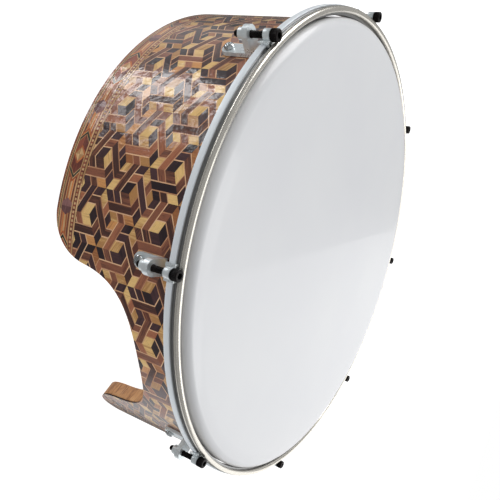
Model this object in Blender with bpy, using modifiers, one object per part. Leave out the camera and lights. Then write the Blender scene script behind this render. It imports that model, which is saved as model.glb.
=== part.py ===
"""Tunable deep frame drum: a wooden hoop shell with marquetry veneer, a film head,
a tension hoop and eight bolts that pull the hoop down against eight shell brackets.

Metres, +Z up. The drum stands on its rear rim, head up, with the origin on its axis
at the rim. The arched knee cutout in the rear rim faces -Y.
"""
import math

import bmesh
import bpy
from mathutils import Vector
from mathutils.geometry import interpolate_bezier

# ---- driving dimensions (metres) -------------------------------------------------
GAP = 0.0003                     # clearance kept between touching pieces
RING_STEPS = 80                  # segments of every large turned ring

SHELL_RADIUS = 0.2233            # outer face of the veneered shell
WALL = 0.0160                    # shell wall with its veneer
VENEER = 0.0012
BORDER_TOP = 0.0225              # height of the inlaid border above the rear rim
VENEER_TOP = 0.1345
HOOP_RADIUS = 0.2300             # centre line of the round tension hoop
HOOP_Z = 0.1380                  # its height above the rear rim
HOOP_ROD = 0.0025                # radius of the hoop's rod
HEAD_TOP = 0.1439                # playing surface
FILM = 0.0005
EDGE_START = 0.2085              # radius where the bearing edge starts to fall away
EDGE_END = 0.2172                # radius where its round shoulder starts
EDGE_FALL = 0.0008               # how far it falls between the two
SKIRT_RADIUS = 0.2246            # outside of the film's skirt

FLESH_INNER = 0.2254
FLESH_OUTER = 0.2335
FLESH_BOTTOM = HOOP_Z - 0.0100
FLESH_LIP = HOOP_Z - 0.0043      # top of the flesh hoop's outer wall
FLESH_TOP = HOOP_Z - HOOP_ROD - GAP
FLESH_LEDGE = 0.0022             # depth of the step above the outer wall

LUG_COUNT = 8
LUG_FIRST = math.radians(22.5)   # the cutout lies midway between two lugs
BOLT_RADIUS = 0.2373             # distance of the bolts from the drum's axis
BOLT_SHANK = 0.00248             # M5
BOLT_HEAD = 0.00436
HEAD_SEAT = HOOP_Z - 0.0018      # underside of the bolt's head
HEAD_HEIGHT = 0.0060
BOLT_END = HOOP_Z - 0.0335
SOCKET_RADIUS = 0.0023           # corner radius of the hexagon socket
SOCKET_DEPTH = 0.0026
BOLT_BORE = 0.00285              # clearance bore in bracket and ear

EAR_SLEEVE = 0.0042
EAR_BOTTOM = HOOP_Z - 0.0110
SLEEVE_BOTTOM = HOOP_Z - 0.0075
EAR_TOP = HEAD_SEAT - GAP
EAR_WIDTH = 0.0130
EAR_PLATE = 0.0016

BRACKET_WIDTH = 0.0125
BRACKET_PLATE = 0.0028
BRACKET_FRONT = HOOP_Z - 0.0192
BRACKET_REAR = HOOP_Z - 0.0480
UPRIGHT = 0.0050
UPRIGHT_RADIUS = 0.0063
BOSS_RADIUS = 0.0044
BOSS_LENGTH = 0.0048

SCREW_Z = HOOP_Z - 0.0422
SCREW_SHANK = 0.00197            # M4
SCREW_HEAD = 0.0040
SCREW_HEAD_HEIGHT = 0.0026
SCREW_HOLE = 0.0024
FLANGE_RADIUS = 0.0050           # flange nuts on the shell's inner face
FLANGE = 0.0011
NUT_RADIUS = 0.0040              # across the corners, halved
NUT = 0.0044                     # with its flange
SCREW_TAIL = 0.0014              # screw end beyond the nut

CUTOUT_TOP = 0.0895              # crown of the knee cutout above the rim
CUTOUT_RIM_HALF = 0.1120         # half its width at the rim, along the shell
CUTOUT_WAIST = (0.0705, 0.0360)  # a point of its side: half width and height
CUTOUT_SHOULDER = 0.0520         # how far the flat crown reaches to each side

CORE_RADIUS = SHELL_RADIUS - VENEER - GAP
BORE_RADIUS = SHELL_RADIUS - WALL
MERGE = 0.00001


# ---- scene helpers ---------------------------------------------------------------
def clear_scene():
    for obj in list(bpy.data.objects):
        bpy.data.objects.remove(obj, do_unlink=True)
    for group in list(bpy.data.collections):
        bpy.data.collections.remove(group)


def new_collection(name):
    group = bpy.data.collections.new(name)
    bpy.context.scene.collection.children.link(group)
    return group


def principled(name, colour, roughness, metallic=0.0):
    material = bpy.data.materials.new(name)
    material.use_nodes = True
    shader = material.node_tree.nodes["Principled BSDF"]
    shader.inputs["Base Color"].default_value = (*colour, 1.0)
    shader.inputs["Roughness"].default_value = roughness
    shader.inputs["Metallic"].default_value = metallic
    return material


def adopt(obj, name, collection, material=None):
    """Give an object its name, its collection and its material."""
    for owner in list(obj.users_collection):
        owner.objects.unlink(obj)
    collection.objects.link(obj)
    obj.name = name
    if material:
        obj.data.materials.clear()
        obj.data.materials.append(material)
    return obj


def mark_cutter(obj, name, collection):
    adopt(obj, name, collection)
    obj.hide_render = True
    obj.display_type = "WIRE"
    return obj


def object_from(bm, name):
    mesh = bpy.data.meshes.new(name)
    bm.to_mesh(mesh)
    bm.free()
    return bpy.data.objects.new(name, mesh)


def smooth(obj, degrees=35.0):
    obj.data.shade_smooth()
    obj.data.set_sharp_from_angle(angle=math.radians(degrees))


def boolean(obj, cutter, operation="DIFFERENCE"):
    modifier = obj.modifiers.new(operation.title(), "BOOLEAN")
    modifier.operation = operation
    modifier.object = cutter
    modifier.solver = "EXACT"


def baked_mesh(obj, name):
    """The object's evaluated mesh, ready to be shared by several copies."""
    graph = bpy.context.evaluated_depsgraph_get()
    mesh = bpy.data.meshes.new_from_object(obj.evaluated_get(graph))
    mesh.name = name
    return mesh


# ---- shape helpers ---------------------------------------------------------------
def turned(name, profile, steps=RING_STEPS, closed=True):
    """Turn a profile of (radius, height) points about Z.

    A closed profile starts at its top outer point and runs down its outer side. An
    open one runs from the axis out, down the outer side and back to the axis.
    """
    bm = bmesh.new()
    points = [bm.verts.new((radius, 0.0, height)) for radius, height in profile]
    for start, end in zip(points, points[1:]):
        bm.edges.new((start, end))
    if closed:
        bm.edges.new((points[-1], points[0]))
    obj = object_from(bm, name)
    screw = obj.modifiers.new("Turn", "SCREW")
    screw.axis = "Z"
    screw.angle = math.tau
    screw.steps = steps
    screw.render_steps = steps
    screw.use_merge_vertices = True
    screw.merge_threshold = MERGE
    return obj


def box(name, low, high):
    low, high = Vector(low), Vector(high)
    bm = bmesh.new()
    bmesh.ops.create_cube(bm, size=1.0)
    bmesh.ops.scale(bm, vec=high - low, verts=bm.verts)
    bmesh.ops.translate(bm, vec=(high + low) / 2.0, verts=bm.verts)
    return object_from(bm, name)


def cylinder(name, radius, bottom, top, sides=16, centre=(0.0, 0.0), axis="Z"):
    """A cylinder along Z, or along +X when axis is X (bottom and top are then in X)."""
    bm = bmesh.new()
    bmesh.ops.create_cone(bm, cap_ends=True, segments=sides, radius1=radius,
                          radius2=radius, depth=top - bottom)
    for vert in bm.verts:
        x, y, z = vert.co
        z += (bottom + top) / 2.0
        if axis == "X":
            vert.co = (z, y + centre[0], -x + centre[1])
        else:
            vert.co = (x + centre[0], y + centre[1], z)
    return object_from(bm, name)


def united(name, pieces, cutters, collection):
    """Join solids and subtract cutters: one mesh made by exact Booleans."""
    base = pieces[0]
    adopt(base, name + "_base", collection)
    for piece in pieces[1:]:
        boolean(base, mark_cutter(piece, name + "_add", collection), "UNION")
    for cutter in cutters:
        boolean(base, mark_cutter(cutter, name + "_cut", collection))
    mesh = baked_mesh(base, name)
    for used in [base, *pieces[1:], *cutters]:
        bpy.data.objects.remove(used, do_unlink=True)
    return mesh


def lug_angles():
    return [LUG_FIRST + math.tau * index / LUG_COUNT for index in range(LUG_COUNT)]


def copies_at_lugs(name, mesh, collection, material):
    """One object per lug; the mesh is modelled at the +X side and turned about Z."""
    made = []
    for number, angle in enumerate(lug_angles(), start=1):
        obj = bpy.data.objects.new(name, mesh)
        adopt(obj, f"{name}_{number}", collection, material)
        obj.rotation_euler[2] = angle
        made.append(obj)
    smooth(made[0])
    return made


def grouped_at_lugs(name, mesh, collection, material):
    """One object that holds a separate solid per lug."""
    bm = bmesh.new()
    for angle in lug_angles():
        start = len(bm.verts)
        bm.from_mesh(mesh)
        bm.verts.ensure_lookup_table()
        turn = Vector((math.cos(angle), math.sin(angle)))
        for vert in bm.verts[start:]:
            x, y, z = vert.co
            vert.co = (x * turn.x - y * turn.y, x * turn.y + y * turn.x, z)
    obj = adopt(object_from(bm, name), name, collection, material)
    smooth(obj)
    return obj


# ---- cutters ---------------------------------------------------------------------
def cutout_outline():
    """Points (distance along the shell, height) of the knee cutout, left to right."""
    rim = Vector((CUTOUT_RIM_HALF, 0.0, 0.0))
    waist = Vector((*CUTOUT_WAIST, 0.0))
    crown = Vector((0.0, CUTOUT_TOP, 0.0))
    slope = Vector((-0.12, 1.0, 0.0))
    right = interpolate_bezier(crown, crown + Vector((CUTOUT_SHOULDER, 0.0, 0.0)),
                               waist + slope * 0.0300, waist, 10)
    right += interpolate_bezier(waist, waist - slope * 0.0220,
                                rim - Vector((0.0240, 0.0, 0.0)), rim, 8)[1:]
    left = [Vector((-point.x, point.y, 0.0)) for point in reversed(right[1:])]
    return [(point.x, point.y) for point in left + right]


def cutout_cutter(collection):
    """A radial wedge with the cutout's outline, widening away from the drum's axis."""
    inner, outer, below = 0.150, 0.300, -0.010
    outline = cutout_outline()
    outline = [(outline[0][0], below)] + outline + [(outline[-1][0], below)]
    bm = bmesh.new()
    face = bm.faces.new([bm.verts.new((x, 0.0, z)) for x, z in outline])
    grown = bmesh.ops.extrude_face_region(bm, geom=[face])
    moved = [item for item in grown["geom"] if isinstance(item, bmesh.types.BMVert)]
    bmesh.ops.translate(bm, vec=(0.0, 1.0, 0.0), verts=moved)
    for vert in bm.verts:
        along, depth, height = vert.co
        reach = inner if depth > 0.5 else outer
        angle = along / SHELL_RADIUS
        vert.co = (reach * math.sin(angle), -reach * math.cos(angle), height)
    bmesh.ops.recalc_face_normals(bm, faces=bm.faces)
    return mark_cutter(object_from(bm, "cutout"), "cutout_cutter", collection)


def screw_hole_cutters(collection):
    """One mesh with the eight radial screw holes through the shell."""
    hole = cylinder("hole", SCREW_HOLE, BORE_RADIUS - 0.010, SHELL_RADIUS + 0.010, 12,
                    (0.0, SCREW_Z), "X")
    holes = grouped_at_lugs("screw_holes", hole.data, collection, None)
    bpy.data.objects.remove(hole, do_unlink=True)
    return mark_cutter(holes, "screw_holes_cutter", collection)


# ---- shell -----------------------------------------------------------------------
def shell_core(parts, material, cutout, holes):
    """The bent wooden hoop with its sloping, rounded bearing edge."""
    edge_top = HEAD_TOP - FILM - GAP
    shoulder = edge_top - EDGE_FALL
    profile = [
        (EDGE_END, shoulder),
        (CORE_RADIUS - 0.0024, shoulder - 0.0013),
        (CORE_RADIUS - 0.0006, shoulder - 0.0033),
        (CORE_RADIUS, shoulder - 0.0060),
        (CORE_RADIUS, 0.0),
        (BORE_RADIUS, 0.0),
        (BORE_RADIUS, edge_top - 0.0016),
        (BORE_RADIUS + 0.0004, edge_top - 0.0004),
        (EDGE_START, edge_top),
    ]
    obj = adopt(turned("shell_core", profile), "shell_core", parts, material)
    boolean(obj, cutout)
    boolean(obj, holes)
    smooth(obj)


def skin(name, bottom, top, parts, material, cutters):
    """A thin veneer sleeve around the core."""
    inner = SHELL_RADIUS - VENEER
    profile = [(SHELL_RADIUS, top), (SHELL_RADIUS, bottom), (inner, bottom), (inner, top)]
    obj = adopt(turned(name, profile), name, parts, material)
    for cutter in cutters:
        boolean(obj, cutter)
    smooth(obj)


def drumhead(parts, material):
    """A film stretched flat over the bearing edge, with its collar and skirt."""
    shoulder = HEAD_TOP - EDGE_FALL
    outer = [
        (0.0, HEAD_TOP),
        (EDGE_START * 0.5, HEAD_TOP),
        (EDGE_START, HEAD_TOP),
        (EDGE_END, shoulder),
        (EDGE_END + 0.0027, shoulder - 0.0011),
        (EDGE_END + 0.0051, shoulder - 0.0029),
        (SKIRT_RADIUS - 0.0005, shoulder - 0.0052),
        (SKIRT_RADIUS, shoulder - 0.0078),
        (SKIRT_RADIUS, FLESH_BOTTOM + 0.0014),
    ]
    inner = [
        (SKIRT_RADIUS - FILM, FLESH_BOTTOM + 0.0014),
        (SKIRT_RADIUS - FILM, shoulder - 0.0078),
        (SKIRT_RADIUS - FILM - 0.0005, shoulder - 0.0053),
        (EDGE_END + 0.0047, shoulder - 0.0032),
        (EDGE_END + 0.0025, shoulder - FILM - 0.0011),
        (EDGE_END, shoulder - FILM),
        (EDGE_START, HEAD_TOP - FILM),
        (EDGE_START * 0.5, HEAD_TOP - FILM),
        (0.0, HEAD_TOP - FILM),
    ]
    obj = turned("drumhead", outer + inner, closed=False)
    smooth(adopt(obj, "drumhead", parts, material))


# ---- tension hoop ----------------------------------------------------------------
def flesh_hoop(parts, material):
    """The aluminium ring that holds the film's edge."""
    chamfer = 0.0006
    profile = [
        (FLESH_OUTER - FLESH_LEDGE, FLESH_TOP),
        (FLESH_OUTER - FLESH_LEDGE, FLESH_LIP),
        (FLESH_OUTER, FLESH_LIP),
        (FLESH_OUTER, FLESH_BOTTOM + chamfer),
        (FLESH_OUTER - chamfer, FLESH_BOTTOM),
        (FLESH_INNER, FLESH_BOTTOM),
        (FLESH_INNER, FLESH_TOP),
    ]
    smooth(adopt(turned("flesh_hoop", profile), "flesh_hoop", parts, material))


def counter_hoop(parts, material):
    """The round steel rod, bent to a ring, that presses on the flesh hoop."""
    bpy.ops.mesh.primitive_torus_add(
        major_radius=HOOP_RADIUS, minor_radius=HOOP_ROD, major_segments=RING_STEPS,
        minor_segments=8, location=(0.0, 0.0, HOOP_Z))
    obj = adopt(bpy.context.object, "counter_hoop", parts, material)
    smooth(obj, 60.0)


def hoop_ears(parts, cutters, material):
    """Ears on the hoop: a sleeve for the bolt, a foot beside the flesh hoop and arms."""
    half = EAR_WIDTH / 2.0
    foot_face = FLESH_OUTER + GAP
    ledge_face = FLESH_OUTER - FLESH_LEDGE + 2.0 * GAP
    arm_low = FLESH_LIP + GAP
    arm_top = EAR_TOP - 0.0002
    margin = 0.0012
    sleeve = cylinder("sleeve", EAR_SLEEVE, SLEEVE_BOTTOM, EAR_TOP, 16, (BOLT_RADIUS, 0.0))
    foot = box("foot", (foot_face, -half, EAR_BOTTOM),
               (foot_face + EAR_PLATE, half, arm_low + margin))
    saddle = box("saddle", (ledge_face, -half, arm_low),
                 (foot_face + EAR_PLATE, half, arm_top))
    bore = cylinder("bore", BOLT_BORE, SLEEVE_BOTTOM - 0.01, EAR_TOP + 0.01, 16,
                    (BOLT_RADIUS, 0.0))
    wall = box("wall", (foot_face - 0.01, -2.0 * half, EAR_BOTTOM - margin),
               (foot_face, 2.0 * half, arm_low))
    bpy.ops.mesh.primitive_torus_add(
        major_radius=HOOP_RADIUS, minor_radius=HOOP_ROD + 2.0 * GAP,
        major_segments=RING_STEPS, minor_segments=12, location=(0.0, 0.0, HOOP_Z))
    rod = bpy.context.object
    windows = [box("window", (HOOP_RADIUS, side * 0.0036 - 0.0013, arm_low - margin),
                   (foot_face + margin / 2.0, side * 0.0036 + 0.0013, EAR_TOP + margin))
               for side in (-1.0, 1.0)]
    mesh = united("hoop_ear", [sleeve, foot, saddle], [bore, wall, rod, *windows], cutters)
    copies_at_lugs("hoop_ear", mesh, parts, material)


def tension_bolts(parts, cutters, material):
    """Socket-head bolts; each turns about its own axis."""
    top = HEAD_SEAT + HEAD_HEIGHT
    chamfer = 0.0008
    profile = [
        (0.0, top), (BOLT_HEAD - chamfer, top), (BOLT_HEAD, top - chamfer),
        (BOLT_HEAD, HEAD_SEAT), (BOLT_SHANK, HEAD_SEAT),
        (BOLT_SHANK, BOLT_END + chamfer), (BOLT_SHANK - chamfer, BOLT_END),
        (0.0, BOLT_END),
    ]
    bolt = turned("bolt", profile, steps=16, closed=False)
    socket = cylinder("socket", SOCKET_RADIUS, top - SOCKET_DEPTH, top + 0.001, 6)
    mesh = united("tension_bolt", [bolt], [socket], cutters)
    for number, angle in enumerate(lug_angles(), start=1):
        obj = bpy.data.objects.new("tension_bolt", mesh)
        adopt(obj, f"tension_bolt_{number}", parts, material)
        obj.location = (BOLT_RADIUS * math.cos(angle), BOLT_RADIUS * math.sin(angle), 0.0)
        obj.rotation_euler[2] = angle
    smooth(bpy.data.objects["tension_bolt_1"])


# ---- brackets and their fasteners ------------------------------------------------
def brackets(parts, cutters, material):
    """L-shaped brackets: a plate on the shell and an upright that holds the bolt."""
    half = BRACKET_WIDTH / 2.0
    seat = SHELL_RADIUS + GAP
    deck = seat + BRACKET_PLATE
    rear = BRACKET_REAR + half
    back = BRACKET_FRONT - UPRIGHT
    axis = (BOLT_RADIUS, 0.0)
    plate = box("plate", (seat, -half, rear), (deck, half, BRACKET_FRONT))
    heel = cylinder("heel", half, seat, deck, 20, (0.0, rear), "X")
    post = box("post", (seat, -UPRIGHT_RADIUS, back),
               (BOLT_RADIUS, UPRIGHT_RADIUS, BRACKET_FRONT))
    crown = cylinder("crown", UPRIGHT_RADIUS, back, BRACKET_FRONT, 20, axis)
    boss = cylinder("boss", BOSS_RADIUS, back - BOSS_LENGTH, back + 0.001, 16, axis)
    bore = cylinder("bore", BOLT_BORE, back - 0.010, BRACKET_FRONT + 0.010, 16, axis)
    hole = cylinder("hole", SCREW_HOLE, seat - 0.010, deck + 0.010, 12,
                    (0.0, SCREW_Z), "X")
    mesh = united("bracket", [plate, heel, post, crown, boss], [bore, hole], cutters)
    copies_at_lugs("bracket", mesh, parts, material)


def screw_reach():
    """Radii, from the head's seat inwards, of the stack that a screw clamps."""
    seat = SHELL_RADIUS + BRACKET_PLATE + 2.0 * GAP
    sagitta = BORE_RADIUS - math.sqrt(BORE_RADIUS ** 2 - FLANGE_RADIUS ** 2)
    nut_face = BORE_RADIUS - 2.0 * sagitta - 2.0 * GAP
    end = nut_face - NUT - SCREW_TAIL
    return seat, nut_face, end


def bracket_screws(parts, cutters, material):
    """Pan-head screws through plate and shell, with a cross recess."""
    seat, _, end = screw_reach()
    head = cylinder("head", SCREW_HEAD, seat, seat + SCREW_HEAD_HEIGHT, 16,
                    (0.0, SCREW_Z), "X")
    shank = cylinder("shank", SCREW_SHANK, end, seat + 0.0005, 12, (0.0, SCREW_Z), "X")
    slot, reach, depth = 0.0006, 0.0024, 0.0014
    top = seat + SCREW_HEAD_HEIGHT
    across = box("across", (top - depth, -reach, SCREW_Z - slot),
                 (top + depth, reach, SCREW_Z + slot))
    along = box("along", (top - depth, -slot, SCREW_Z - reach),
                (top + depth, slot, SCREW_Z + reach))
    mesh = united("bracket_screw", [head, shank], [across, along], cutters)
    copies_at_lugs("bracket_screw", mesh, parts, material)


def flange_nuts(parts, cutters, material):
    """Hexagon flange nuts on the shell's inner face."""
    _, face, _ = screw_reach()
    centre = (0.0, SCREW_Z)
    flange = cylinder("flange", FLANGE_RADIUS, face - FLANGE, face, 16, centre, "X")
    hexagon = cylinder("hexagon", NUT_RADIUS, face - NUT, face - FLANGE / 2.0, 6, centre,
                       "X")
    hole = cylinder("hole", SCREW_HOLE, face - 2.0 * NUT, face + NUT, 12, centre, "X")
    mesh = united("flange_nut", [flange, hexagon], [hole], cutters)
    copies_at_lugs("flange_nut", mesh, parts, material)


def main():
    clear_scene()
    parts = new_collection("bodhran")
    cutters = new_collection("cutters")

    beech = principled("shell_wood", (0.36, 0.19, 0.09), 0.45)
    marquetry = principled("marquetry", (0.23, 0.11, 0.06), 0.25)
    border = principled("border_inlay", (0.50, 0.27, 0.12), 0.25)
    film = principled("head_film", (0.86, 0.87, 0.88), 0.38)
    aluminium = principled("satin_aluminium", (0.78, 0.80, 0.82), 0.32, 1.0)
    steel = principled("polished_steel", (0.80, 0.79, 0.77), 0.12, 1.0)
    zinc = principled("zinc_casting", (0.74, 0.77, 0.77), 0.28, 1.0)
    black = principled("black_oxide", (0.02, 0.02, 0.022), 0.40, 1.0)
    plated = principled("plated_screw", (0.82, 0.86, 0.88), 0.20, 1.0)

    cutout = cutout_cutter(cutters)
    holes = screw_hole_cutters(cutters)
    shell_core(parts, beech, cutout, holes)
    skin("marquetry_veneer", BORDER_TOP + GAP, VENEER_TOP, parts, marquetry,
         (cutout, holes))
    skin("border_inlay", GAP, BORDER_TOP, parts, border, (cutout,))
    drumhead(parts, film)
    flesh_hoop(parts, aluminium)
    counter_hoop(parts, steel)
    hoop_ears(parts, cutters, zinc)
    tension_bolts(parts, cutters, black)
    brackets(parts, cutters, zinc)
    bracket_screws(parts, cutters, plated)
    flange_nuts(parts, cutters, plated)


main()
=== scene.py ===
"""Looks of the deep frame drum: marquetry shell, film head, tension hoop and lugs.

Everything is in metres in the frame's axes: +Z along the drum's axis towards the head,
the knee cutout at -Y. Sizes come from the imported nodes' boxes and from the named values
below.
"""
import math
import random

import bmesh
import bpy
import numpy as np
from mathutils import Matrix, Vector
from mathutils.geometry import interpolate_bezier


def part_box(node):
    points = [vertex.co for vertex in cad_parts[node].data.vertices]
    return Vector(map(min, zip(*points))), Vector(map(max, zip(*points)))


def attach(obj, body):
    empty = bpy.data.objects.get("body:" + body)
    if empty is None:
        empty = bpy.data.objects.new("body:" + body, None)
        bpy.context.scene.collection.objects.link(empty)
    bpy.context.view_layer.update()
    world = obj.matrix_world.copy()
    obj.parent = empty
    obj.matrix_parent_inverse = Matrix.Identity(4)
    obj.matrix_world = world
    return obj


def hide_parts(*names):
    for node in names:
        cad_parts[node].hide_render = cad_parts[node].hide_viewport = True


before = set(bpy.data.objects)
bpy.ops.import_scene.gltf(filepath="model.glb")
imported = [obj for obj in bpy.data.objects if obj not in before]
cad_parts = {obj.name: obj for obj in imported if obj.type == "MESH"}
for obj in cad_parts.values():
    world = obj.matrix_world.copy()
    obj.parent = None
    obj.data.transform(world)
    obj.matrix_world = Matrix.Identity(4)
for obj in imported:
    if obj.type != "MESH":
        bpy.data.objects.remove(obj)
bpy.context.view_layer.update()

PI = math.pi
TAU = math.tau
SQRT3 = math.sqrt(3.0)

# ---- sizes read from the frame ---------------------------------------------------
VENEER_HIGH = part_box("marquetry_veneer")[1]
BORDER_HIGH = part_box("border_inlay")[1]
CORE_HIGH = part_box("shell_core")[1]
FILM_LOW, FILM_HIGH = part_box("drumhead")
FLESH_LOW, FLESH_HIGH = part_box("flesh_hoop")
ROD_LOW, ROD_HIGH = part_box("counter_hoop")

SHELL_R = VENEER_HIGH.x
CORE_R = CORE_HIGH.x
CORE_TOP = CORE_HIGH.z
VENEER_TOP = VENEER_HIGH.z
BORDER_TOP = BORDER_HIGH.z
HEAD_TOP = FILM_HIGH.z
SKIRT_R = FILM_HIGH.x
SKIRT_LOW = FILM_LOW.z
FLESH_R = FLESH_HIGH.x
FLESH_BOTTOM = FLESH_LOW.z
FLESH_TOP = FLESH_HIGH.z
ROD_R = (ROD_HIGH.z - ROD_LOW.z) / 2.0
HOOP_R = ROD_HIGH.x - ROD_R
HOOP_Z = (ROD_HIGH.z + ROD_LOW.z) / 2.0

# ---- sizes that the boxes do not give --------------------------------------------
WALL = 0.0160
VENEER = 0.0012
GAP = 0.0003
BORE_R = SHELL_R - WALL
FLESH_LIP = HOOP_Z - 0.0043      # top of the flesh hoop's outer wall
FLESH_STEP = 0.0022              # from that wall in to the step above it
FILM = 0.0005
LUG_COUNT = 8
LUG_FIRST = math.radians(22.5)
BOLT_AXIS = 0.2373               # radius of the circle of bolts
BOLT_BORE = 0.00285
PLATE = 0.0028                   # thickness of a bracket's plate
EDGE_START = 0.2085              # the bearing edge slopes down between these radii
EDGE_END = 0.2172
EDGE_FALL = 0.0008
CUTOUT_TOP = 0.0895
CUTOUT_RIM_HALF = 0.1120         # half its width in the rear rim
CUTOUT_WAIST = (0.0705, 0.0360)  # where its side turns out: half width and height
CUTOUT_SHOULDER = 0.0520         # pull of the curve at the crown
CUTOUT_ANGLE = math.radians(270.0)


# ---- mesh helpers ----------------------------------------------------------------
def linked(name, data):
    """A new object with this data, in the scene."""
    obj = bpy.data.objects.new(name, data)
    bpy.context.scene.collection.objects.link(obj)
    return obj


def to_object(name, verts, faces, materials, uvs, slots):
    """A mesh object; uvs is one (u, v) per face corner, slots a material per face."""
    mesh = bpy.data.meshes.new(name)
    mesh.from_pydata(verts, [], faces)
    for item in materials:
        mesh.materials.append(item)
    layer = mesh.uv_layers.new(name="grain")
    layer.data.foreach_set("uv", np.array(uvs, dtype=np.float32).ravel())
    mesh.polygons.foreach_set("material_index", np.array(slots, dtype=np.int32))
    mesh.update()
    mesh.shade_smooth()
    return linked(name, mesh)


def set_tone(mesh, tones):
    """Stores one random number per face for the materials' colour variation."""
    layer = mesh.attributes.new("tone", "FLOAT", "FACE")
    layer.data.foreach_set("value", np.array(tones, dtype=np.float32))


def grid(name, rows, material, closed_rows=True, caps=(False, False), sharp=40.0,
         slots=None, materials=None):
    """Joins rows of points, each a loop of the same length, into a smooth surface.

    closed_rows joins the last row to the first. Otherwise caps says whether the first
    and the last row are filled by a fan round their middle.
    """
    count = len(rows[0])
    verts = [point for row in rows for point in row]
    faces, uvs, face_slots = [], [], []
    pairs = len(rows) if closed_rows else len(rows) - 1
    along = [0.0]
    for row, following in zip(rows, rows[1:] + rows[:1]):
        step = (Vector(following[0]) - Vector(row[0])).length
        along.append(along[-1] + step)
    radius = max(math.hypot(point[0], point[1]) for point in rows[0])
    turn = radius * TAU / count
    for row in range(pairs):
        low = row * count
        high = ((row + 1) % len(rows)) * count
        for column in range(count):
            after = (column + 1) % count
            faces.append((low + column, low + after, high + after, high + column))
            left, right = column * turn, (column + 1) * turn
            uvs += [(left, along[row]), (right, along[row]),
                    (right, along[row + 1]), (left, along[row + 1])]
            face_slots.append(slots[row] if slots else 0)
    for wanted, row, forward in ((caps[0], 0, False), (caps[1], len(rows) - 1, True)):
        if not wanted:
            continue
        middle = len(verts)
        verts.append(tuple(sum((Vector(p) for p in rows[row]), Vector()) / count))
        for column in range(count):
            here, after = row * count + column, row * count + (column + 1) % count
            corners = (here, after, middle) if forward else (after, here, middle)
            faces.append(corners)
            uvs += [tuple(verts[corner][:2]) for corner in corners]
            face_slots.append(0)
    obj = to_object(name, verts, faces, materials or (material,), uvs, face_slots)
    obj.data.set_sharp_from_angle(angle=math.radians(sharp))
    return obj


def turned(name, profile, material, steps=288, closed=True, sharp=40.0, **extra):
    """Turns (radius, height) points about Z; an open profile gets fans at its ends."""
    angles = [TAU * step / steps for step in range(steps)]
    rows = [[(radius * math.cos(a), radius * math.sin(a), height) for a in angles]
            for radius, height in profile]
    caps = (False, False) if closed else (True, True)
    return grid(name, rows, material, closed, caps, sharp, **extra)


def polar(centre, radius, degrees):
    """The flat point at this distance and direction from the centre."""
    angle = math.radians(degrees)
    return (centre[0] + radius * math.cos(angle), centre[1] + radius * math.sin(angle))


def arc(centre, radius, start, end, count):
    """Points of an arc in the (radius, height) plane; angles in degrees."""
    return [polar(centre, radius, start + (end - start) * i / count)
            for i in range(count + 1)]


def finished(obj, body, slot, *nodes):
    """A piece that rides on a body and stands for CAD nodes; slot is not used."""
    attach(obj, body)
    if nodes:
        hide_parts(*nodes)
    return obj


# ---- node helpers ----------------------------------------------------------------
class Nodes:
    """Short calls for the nodes of one tree."""

    def __init__(self, tree):
        self.tree = tree

    def node(self, kind, **settings):
        made = self.tree.nodes.new(kind)
        for key, value in settings.items():
            setattr(made, key, value)
        return made

    def link(self, source, target):
        self.tree.links.new(source, target)

    def put(self, socket, value):
        if isinstance(value, bpy.types.NodeSocket):
            self.link(value, socket)
        else:
            socket.default_value = value

    def uv(self):
        return self.node("ShaderNodeUVMap", uv_map="grain").outputs["UV"]

    def place(self):
        return self.node("ShaderNodeTexCoord").outputs["Object"]

    def tone(self):
        made = self.node("ShaderNodeAttribute", attribute_name="tone")
        return made.outputs["Fac"]

    def mapped(self, vector, scale):
        made = self.node("ShaderNodeMapping")
        self.link(vector, made.inputs["Vector"])
        made.inputs["Scale"].default_value = scale
        return made.outputs["Vector"]

    def offset(self, vector, amount):
        made = self.node("ShaderNodeVectorMath", operation="ADD")
        self.link(vector, made.inputs[0])
        self.put(made.inputs[1], amount)
        return made.outputs["Vector"]

    def noise(self, vector, scale, detail=3.0, roughness=0.5, distortion=0.0):
        made = self.node("ShaderNodeTexNoise")
        self.link(vector, made.inputs["Vector"])
        made.inputs["Scale"].default_value = scale
        made.inputs["Detail"].default_value = detail
        made.inputs["Roughness"].default_value = roughness
        made.inputs["Distortion"].default_value = distortion
        return made.outputs["Fac"]

    def math(self, operation, first, second):
        made = self.node("ShaderNodeMath", operation=operation)
        self.put(made.inputs[0], first)
        self.put(made.inputs[1], second)
        return made.outputs["Value"]

    def weighted(self, *terms):
        """The sum of (socket, weight) terms."""
        total = None
        for socket, weight in terms:
            scaled = self.math("MULTIPLY", socket, weight)
            total = scaled if total is None else self.math("ADD", total, scaled)
        return total

    def ramp(self, factor, *stops):
        made = self.node("ShaderNodeValToRGB")
        self.link(factor, made.inputs["Fac"])
        elements = made.color_ramp.elements
        while len(elements) < len(stops):
            elements.new(0.5)
        for element, (position, colour) in zip(elements, stops):
            element.position = position
            element.color = (*colour, 1.0)
        return made.outputs["Color"]

    def span(self, value, low, high, to_low, to_high, interpolation="LINEAR"):
        made = self.node("ShaderNodeMapRange", interpolation_type=interpolation)
        self.link(value, made.inputs["Value"])
        for key, number in (("From Min", low), ("From Max", high),
                            ("To Min", to_low), ("To Max", to_high)):
            made.inputs[key].default_value = number
        return made.outputs["Result"]

    def mix(self, factor, first, second, blend="MIX"):
        made = self.node("ShaderNodeMix", data_type="RGBA", blend_type=blend)
        self.put(made.inputs[0], factor)
        for socket, value in ((made.inputs[6], first), (made.inputs[7], second)):
            self.put(socket, (*value, 1.0) if isinstance(value, tuple) else value)
        return made.outputs[2]

    def darkened(self, colour, factor):
        """The colour times a grey between 0 and 1."""
        grey = self.ramp(factor, (0.0, (0.0, 0.0, 0.0)), (1.0, (1.0, 1.0, 1.0)))
        return self.mix(1.0, colour, grey, "MULTIPLY")


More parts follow.
